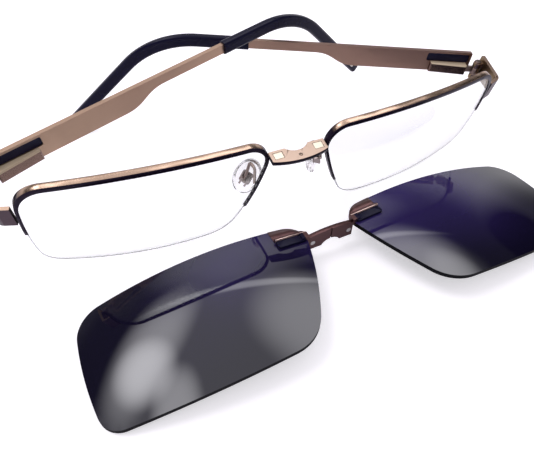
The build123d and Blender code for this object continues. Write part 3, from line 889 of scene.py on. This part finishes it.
class GLASSES_OT_clip(Operator):
    """Finishes the clip's bridge, brackets, magnets and sun lenses"""

    bl_idname = "glasses.clip"
    bl_label = "Magnetic clip"

    def execute(self, context):
        look = finishes()
        bronze = finish_of("clip bronze", look.clip_bronze, roughness=0.3)
        dress(["clip_bridge"], bronze, look.edge_round)
        seats = [Vector(MOUNTS[f"{side}_clip_magnet_face"]["pos_m"]) for side in SIDES]
        middle = (seats[0] + seats[1]) / 2
        across = (seats[1] - seats[0]).normalized()
        up = -Vector(MOUNTS["left_clip_magnet_face"]["axis"])

        def plate(tree):
            low = beyond(tree, middle, -up, -RAIL_START - RAIL_BLUR, -RAIL_START + RAIL_BLUR)
            outer = beyond(tree, middle, across, TAB_END - TAB_BLUR, TAB_END, "Far Mask")
            return maths(tree, "MULTIPLY", low, outer)

        # Painted highlight along the rail's front edge
        def rail_highlight_mask(tree):
            lip = middle + up * (RAIL_START + RAIL_HIGHLIGHT_UP)
            return opposite(tree, beyond(tree, lip, up, RAIL_HIGHLIGHT_FROM, RAIL_HIGHLIGHT_TO, "Far Mask"))

        layers = [(plate, look.bracket_black, NO_METAL), (rail_highlight_mask, look.rail_painted_highlight, METAL)]
        dull = {"roughness": 0.25, "Specular_IOR_Level": 0.12}
        bracket = finish_of("bracket bronze and black", look.clip_bronze, layers, **dull)
        dress(both("clip_bracket"), bracket, look.edge_round)
        for side in SIDES:
            cap = lens_cap(side, middle, across * HAND[side], up)
            sheath = finish_of(f"{side} cap bronze", look.clip_bronze, roughness=0.25)
            cap.data.materials.append(sheath)
            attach(cap, "clip")
        magnet = finish_of("clip magnet nickel", look.clip_magnet, roughness=0.25)
        dress(both("clip_magnet"), magnet, look.edge_round)
        ahead = across.cross(up)
        glass = sun_glass("sun lens", look.sun_tint, look.sun_low_tint, middle, across, ahead)
        dress(both("sun_lens"), glass)
        return {"FINISHED"}


def camera_matrix(place, turn):
    """World matrix of a camera from its azimuth, downward tilt and roll."""
    azimuth, tilt, roll = turn
    forward = Vector((sin(azimuth) * cos(tilt), cos(azimuth) * cos(tilt), -sin(tilt)))
    level = forward.cross(Vector((0, 0, 1))).normalized()
    above = level.cross(forward)
    right = level * cos(roll) + above * sin(roll)
    up = above * cos(roll) - level * sin(roll)
    axes = Matrix((right, up, -forward)).transposed().to_4x4()
    return Matrix.Translation(Vector(place)) @ axes


def soft_lamp(name, place, target, size, power):
    """A round lamp of this size and power at a place, turned to a target."""
    lamp = bpy.data.lights.new(name, "AREA")
    lamp.shape = "DISK"
    lamp.size = size
    lamp.energy = power
    holder = bpy.data.objects.new(name, lamp)
    bpy.context.scene.collection.objects.link(holder)
    way = Vector(target) - Vector(place)
    turn = way.to_track_quat("-Z", "Y").to_matrix().to_4x4()
    holder.matrix_world = Matrix.Translation(Vector(place)) @ turn
    return holder


# Table top: its colour, and how much light of its own the camera sees, also through the clear lenses
FLOOR_COLOUR = (0.90, 0.865, 0.93, 1.0)
FLOOR_GLOW = 0.46
WHITE = (1.0, 1.0, 1.0, 1.0)


def seen_straight(tree):
    """Mask of what the camera sees directly or through a clear piece."""
    path = tree.nodes.new("ShaderNodeLightPath").outputs
    return maths(tree, "MAXIMUM", path["Is Camera Ray"], path["Is Transmission Ray"])


def floor_material():
    """White table top that keeps the shadows and is lightened where the camera sees it."""
    made, tree, shader = material_tree("white table")
    glow = maths(tree, "MULTIPLY", seen_straight(tree), FLOOR_GLOW)
    set_inputs(tree, shader, Base_Color=FLOOR_COLOUR, Roughness=0.9, Specular_IOR_Level=0.0)
    set_inputs(tree, shader, Emission_Color=WHITE, Emission_Strength=glow)
    return made


# Soft windows that glossy pieces mirror, and one dark corner, whose brightness is below 0. Each has its
# bearing from Y towards X, its height, half width and half height in degrees, and its brightness.
WINDOWS = (
    (-47, 55, 11, 10, 0.62),
    (-38, 53, 24, 10, 0.42),
    (-64, 66, 13, 8, 0.5),
    (52, 62, 21, 17, 0.36),
    (72, 55, 12, 7, 0.22),
    (15, 53.5, 32, 1.5, 0.36),
    (12, 42, 26, 11, 0.15),
    (74, 14, 16, 24, -0.13),
)

# The mirrored room: a dim band with a brighter wall below it and a brighter ceiling above it, how much
# brighter these are, and the heights of a way, from 0 level to 1 upright, between which each changes
BAND_BRIGHTNESS = 0.05
WALL_BRIGHTNESS = 0.9
CEILING_BRIGHTNESS = 0.9
WALL_TOP = (0.28, 0.58)
CEILING_EDGE = (0.70, 0.82)

# Tint of the light from all round
AIR_TINT = (0.97, 0.96, 1.0, 1.0)


def window_glow(tree, way, bearing, height, half_width, half_height):
    """Mask of a soft oval window in the room, seen in a direction."""
    turn, rise = radians(bearing), radians(height)
    level = Vector((cos(turn), -sin(turn), 0)) / sin(radians(half_width))
    upright = Vector((-sin(turn) * sin(rise), -cos(turn) * sin(rise), cos(rise))) / sin(radians(half_height))
    squares = []
    for axis in (level, upright):
        off = dot_product(tree, way, axis)
        squares.append(maths(tree, "MULTIPLY", off, off))
    inside = opposite(tree, maths(tree, "ADD", *squares))
    return ramp_between(tree, inside, 0.0, 1.0)


def mirrored_room(tree, window_strength):
    """Brightness of the room that glossy pieces mirror: its wall, band, ceiling and windows."""
    way = tree.nodes.new("ShaderNodeTexCoord").outputs["Generated"]
    height = dot_product(tree, way, (0, 0, 1))
    ceiling = ramp_between(tree, height, *CEILING_EDGE)
    over_wall = ramp_between(tree, height, *WALL_TOP)
    room = maths(tree, "MULTIPLY_ADD", ceiling, CEILING_BRIGHTNESS, BAND_BRIGHTNESS + WALL_BRIGHTNESS)
    room = maths(tree, "MULTIPLY_ADD", over_wall, -WALL_BRIGHTNESS, room)
    over_table = maths(tree, "GREATER_THAN", height, 0.0)
    for *place, share in WINDOWS:
        glow = maths(tree, "MULTIPLY", window_glow(tree, way, *place), over_table)
        room = maths(tree, "MULTIPLY_ADD", glow, window_strength * share, room)
    return maths(tree, "MAXIMUM", room, 0.0)


def room_world(strength, window_strength):
    """Even light from all round, white to the camera, with the room only in mirrorings."""
    world = bpy.data.worlds.new("pale room")
    world.use_nodes = True
    tree = world.node_tree
    seen = seen_straight(tree)
    path = tree.nodes.new("ShaderNodeLightPath").outputs
    after_mirror = maths(tree, "MINIMUM", path["Glossy Depth"], 1.0)
    not_diffuse = maths(tree, "SUBTRACT", after_mirror, path["Is Diffuse Ray"])
    in_mirror = maths(tree, "MAXIMUM", not_diffuse, 0.0)
    even = lay_over(tree, seen, strength, 1.0, "FLOAT")
    level = lay_over(tree, in_mirror, even, mirrored_room(tree, window_strength), "FLOAT")
    tint = lay_over(tree, seen, AIR_TINT, WHITE)
    set_inputs(tree, tree.nodes["Background"], Color=tint, Strength=level)
    return world


class GLASSES_OT_stage(Operator):
    """Sets the camera, the lamp, the table top and the pale room"""

    bl_idname = "glasses.stage"
    bl_label = "Stage"

    def execute(self, context):
        scene = context.scene
        stage = scene.stage_settings
        eye = bpy.data.cameras.new("photo_view")
        eye.sensor_width = SENSOR_WIDTH
        eye.lens = stage.focal_pixels / IMAGE_WIDTH * SENSOR_WIDTH
        eye.clip_start = 0.005
        eye.clip_end = 20.0
        camera = bpy.data.objects.new("photo_view", eye)
        scene.collection.objects.link(camera)
        camera.matrix_world = camera_matrix(stage.camera_place, stage.camera_turn)
        scene.camera = camera

        bpy.ops.mesh.primitive_plane_add(size=4.0, location=(0, 0, 0))
        table = context.active_object
        table.name = "table_top"
        table.data.materials.append(floor_material())

        key = soft_lamp("key_lamp", stage.key_place, (0, 0, 0), stage.key_size, stage.key_power)
        key.visible_glossy = False
        key.visible_transmission = False
        scene.world = room_world(stage.room_light, stage.window_light)
        scene.view_settings.view_transform = "Standard"
        return {"FINISHED"}


OPERATORS = (
    GLASSES_OT_stage,
    GLASSES_OT_front,
    GLASSES_OT_lenses,
    GLASSES_OT_pads,
    GLASSES_OT_temples,
    GLASSES_OT_clip,
)


class GLASSES_PT_panel(Panel):
    """Lists the steps that finish the spectacles"""

    bl_idname = "GLASSES_PT_panel"
    bl_label = "Spectacles"
    bl_space_type = "VIEW_3D"
    bl_region_type = "UI"
    bl_category = "Spectacles"

    def draw(self, context):
        for step in OPERATORS:
            self.layout.operator(step.bl_idname, text=step.bl_label)


CLASSES = (FinishSettings, StageSettings, *OPERATORS, GLASSES_PT_panel)


def register():
    for kind in CLASSES:
        bpy.utils.register_class(kind)
    bpy.types.Scene.finish_settings = PointerProperty(type=FinishSettings)
    bpy.types.Scene.stage_settings = PointerProperty(type=StageSettings)


def unregister():
    del bpy.types.Scene.stage_settings
    del bpy.types.Scene.finish_settings
    for kind in reversed(CLASSES):
        bpy.utils.unregister_class(kind)


def main():
    register()
    bpy.ops.glasses.stage()
    bpy.ops.glasses.front()
    bpy.ops.glasses.lenses()
    bpy.ops.glasses.pads()
    bpy.ops.glasses.temples()
    bpy.ops.glasses.clip()


if __name__ == "__main__":
    main()
